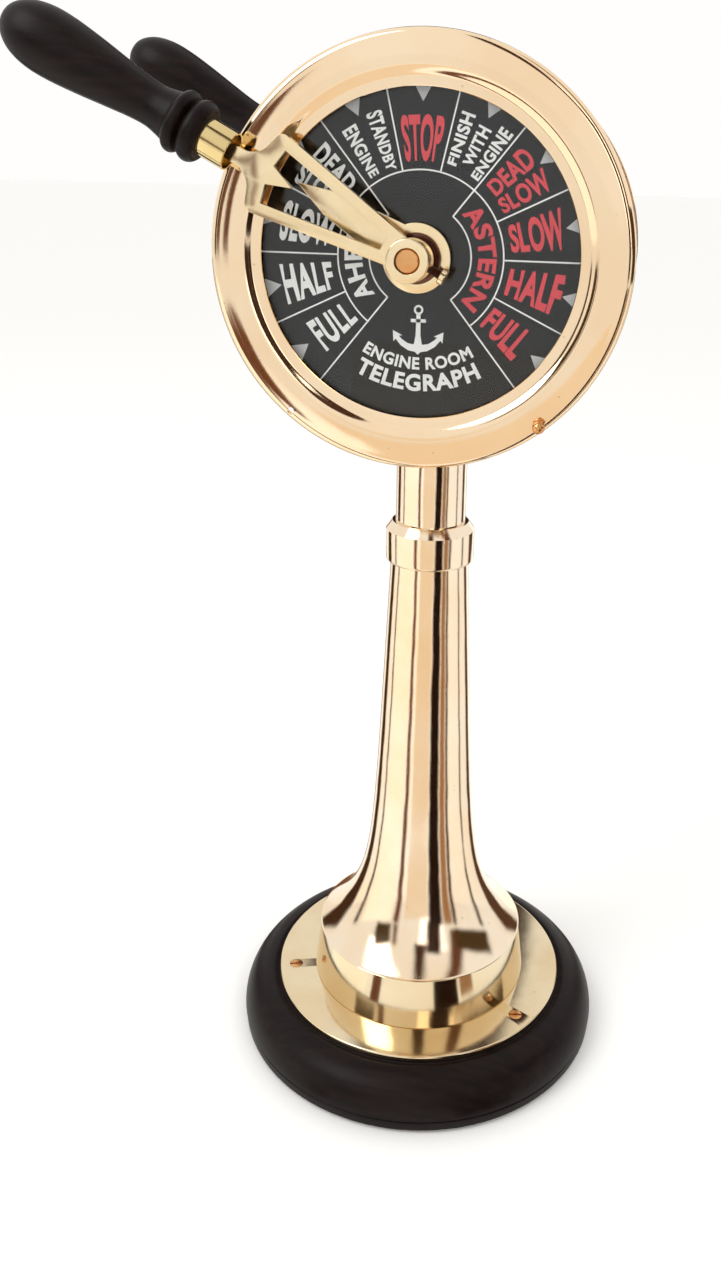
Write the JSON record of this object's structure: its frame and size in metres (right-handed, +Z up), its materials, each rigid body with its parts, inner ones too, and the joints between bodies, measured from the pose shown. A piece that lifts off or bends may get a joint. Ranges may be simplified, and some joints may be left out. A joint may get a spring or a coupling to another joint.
{
  "type": "ship engine telegraph",
  "caption": "Double-faced ship engine telegraph: polished brass lever head with glazed dials on a trumpet pedestal and turned dark wood base.",
  "frame": {"origin": "centre of the underside of the base, on the surface the object stands on", "axes": "+Z up along the pedestal, front dial faces -Y, lever shaft along Y, +X to the right as seen from the front"},
  "size_m": [0.3231, 0.2278, 0.6097],
  "materials": {
    "brass": "mirror polished and lacquered",
    "brass_bronze": "redder bearing bronze, turned and polished",
    "dark_wood": "turned hardwood, dark stain, satin lacquer",
    "felt": "black baize",
    "dial_enamel": "black enamel with printed orders",
    "black_paint": "matt black paint",
    "rubber": "black gasket sheet",
    "glass": "clear flat glass",
    "steel": "plain turned steel"
  },
  "bodies": {
    "stand": {"wood_base": "dark_wood", "felt_pad": "felt", "base_flange": "brass", "flange_screws": "brass", "foot_band": "brass", "pedestal": "brass", "collar": "brass", "neck_tube": "brass", "neck_saddle": "brass", "saddle_screws": "steel", "tie_rod": "steel", "tie_washers": "steel", "tie_nuts": "steel", "head_casing": "brass", "front_bezel": "brass", "rear_bezel": "brass", "bezel_screws": "brass", "bezel_clips": "brass", "front_gasket": "rubber", "rear_gasket": "rubber", "front_glass": "glass", "rear_glass": "glass", "front_spacer": "black_paint", "rear_spacer": "black_paint", "front_dial": "dial_enamel", "rear_dial": "dial_enamel", "front_bridge": "brass", "rear_bridge": "brass", "bridge_screws": "steel", "front_bush": "brass_bronze", "rear_bush": "brass_bronze", "pointer_washers": "felt", "gong": "brass", "gong_post": "steel", "gong_screw": "brass", "striker_post": "steel", "striker_spring": "steel"},
    "levers": {"main_shaft": "brass_bronze", "shaft_collars": "brass", "friction_washers": "steel", "trip_wheel": "brass", "wheel_pin": "steel", "front_lever": "brass", "rear_lever": "brass", "lever_set_screws": "brass", "tang_plugs": "brass", "front_grip_tube": "brass", "rear_grip_tube": "brass", "front_grip": "dark_wood", "rear_grip": "dark_wood"},
    "front_pointer": {"front_pointer": "brass"},
    "rear_pointer": {"rear_pointer": "brass"},
    "striker": {"striker_arm": "brass", "striker_hammer": "brass"}
  },
  "joints": [
    {"name": "lever_turn", "type": "hinge", "parent": "stand", "child": "levers", "pos_m": [0, 0, 0.491], "axis": [0, 1, 0], "range_deg": [-66.8, 190.4]},
    {"name": "front_pointer_turn", "type": "hinge", "parent": "stand", "child": "front_pointer", "pos_m": [0, 0, 0.491], "axis": [0, 1, 0], "range_deg": [-68.3, 188.9]},
    {"name": "rear_pointer_turn", "type": "hinge", "parent": "stand", "child": "rear_pointer", "pos_m": [0, 0, 0.491], "axis": [0, 1, 0], "range_deg": [-68.3, 188.9]},
    {"name": "striker_swing", "type": "hinge", "parent": "stand", "child": "striker", "pos_m": [0.044, 0, 0.485], "axis": [0, 1, 0], "range_deg": [-1.8, 12], "stiffness_Nm_per_rad": 0.15}
  ]
}
